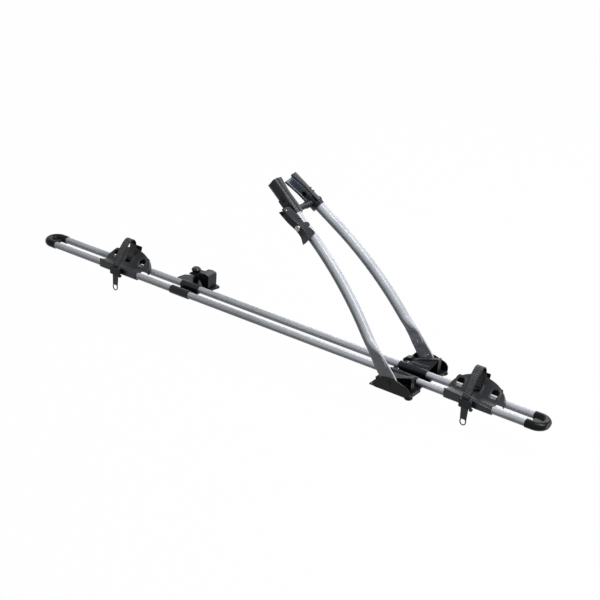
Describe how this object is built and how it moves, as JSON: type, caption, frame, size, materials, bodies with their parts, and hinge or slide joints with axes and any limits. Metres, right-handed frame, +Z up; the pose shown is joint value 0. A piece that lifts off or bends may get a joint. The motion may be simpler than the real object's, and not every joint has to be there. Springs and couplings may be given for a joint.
{
  "type": "roof mounted bike carrier",
  "caption": "Roof bar bicycle carrier: twin rail tubes, folding curved arms with a clamping head, front bracket, rear clamp and sliding wheel trays with straps.",
  "frame": {"origin": "centre of the underside of the front bar pad, on top of the load bar", "axes": "+X along the rails towards the front of the vehicle, -Y to the side of the lever, +Z up"},
  "size_m": [1.49, 0.1894, 0.4385],
  "materials": {
    "rail_alu": "satin silver anodised tube",
    "arm_alu": "satin silver anodised tube",
    "black_steel": "matt black powder coat",
    "body_plastic": "dark charcoal moulding",
    "cap_plastic": "dark charcoal moulding, finely grained",
    "strap_plastic": "flexible black toothed strap",
    "black_rubber": "black rubber",
    "grey_rubber": "blue-grey soft rubber pad",
    "zinc_steel": "zinc plated",
    "lock_chrome": "polished"
  },
  "bodies": {
    "carrier": {"rail_near": "rail_alu", "rail_far": "rail_alu", "end_cap_front": "cap_plastic", "end_cap_rear": "cap_plastic", "bracket": "black_steel", "bar_pad": "black_rubber", "bracket_feet": "black_rubber", "cheek_near": "body_plastic", "cheek_far": "body_plastic", "cheek_screws": "zinc_steel"},
    "near_arm": {"arm_near": "arm_alu", "jaw_near": "body_plastic", "jaw_pad_near": "grey_rubber", "bolt_sleeve": "body_plastic", "lever_pin": "zinc_steel", "pivot_bolts": "black_steel", "pivot_nuts": "zinc_steel"},
    "far_arm": {"arm_far": "arm_alu", "jaw_far": "body_plastic", "jaw_pad_far": "grey_rubber", "cross_bolt": "zinc_steel"},
    "knob": {"adjuster_knob": "body_plastic"},
    "grip_lever": {"lever": "body_plastic"},
    "lock": {"lock_cylinder": "lock_chrome"},
    "rear_clamp": {"rear_base": "body_plastic", "rear_pad": "black_rubber", "rear_claw": "body_plastic"},
    "clamp_knob": {"rear_knob": "body_plastic"},
    "front_tray": {"tray_front": "body_plastic", "strap_front": "strap_plastic", "buckle_front": "body_plastic"},
    "back_tray": {"tray_rear": "body_plastic", "strap_rear": "strap_plastic", "buckle_rear": "body_plastic"},
    "front_release": {"release_front": "body_plastic"},
    "back_release": {"release_rear": "body_plastic"}
  },
  "joints": [
    {"name": "arm_fold", "type": "hinge", "parent": "carrier", "child": "near_arm", "pos_m": [-0.004, 0, 0.023], "axis": [0, -1, 0], "range_deg": [0, 38]},
    {"name": "arm_open", "type": "hinge", "parent": "near_arm", "child": "far_arm", "pos_m": [-0.004, 0.08145, 0.023], "axis": [-1, 0, 0], "range_deg": [0, 0.9]},
    {"name": "lever_swing", "type": "hinge", "parent": "near_arm", "child": "grip_lever", "pos_m": [-0.32743, -0.07515, 0.34182], "axis": [-0.5827, -0.0142, -0.8126], "range_deg": [0, 100]},
    {"name": "lock_turn", "type": "hinge", "parent": "grip_lever", "child": "lock", "pos_m": [-0.28977, -0.08711, 0.31502], "axis": [-0.0745, -0.9947, 0.0708], "range_deg": [0, 90]},
    {"name": "knob_turn", "type": "hinge", "parent": "far_arm", "child": "knob", "pos_m": [-0.32321, 0, 0.33822], "axis": [0, 1, 0], "continuous": true},
    {"name": "rear_slide", "type": "slide", "parent": "carrier", "child": "rear_clamp", "axis": [1, 0, 0], "range_m": [-0.04, 0.05]},
    {"name": "rear_knob_turn", "type": "hinge", "parent": "rear_clamp", "child": "clamp_knob", "pos_m": [-0.68496, 0.069, 0.03], "axis": [0, 0, 1], "continuous": true},
    {"name": "front_tray_slide", "type": "slide", "parent": "carrier", "child": "front_tray", "axis": [1, 0, 0], "range_m": [-0.035, 0.05]},
    {"name": "back_tray_slide", "type": "slide", "parent": "carrier", "child": "back_tray", "axis": [1, 0, 0], "range_m": [-0.13, 0.04]},
    {"name": "front_release_turn", "type": "hinge", "parent": "front_tray", "child": "front_release", "pos_m": [0.17, -0.04365, 0.02488], "axis": [1, 0, 0], "range_deg": [-20, 14]},
    {"name": "back_release_turn", "type": "hinge", "parent": "back_tray", "child": "back_release", "pos_m": [-0.862, -0.04365, 0.02488], "axis": [1, 0, 0], "range_deg": [-20, 14]}
  ],
  "couplings": [
    {"joint": "arm_open", "follows": "lever_swing", "ratio": 0.009}
  ]
}
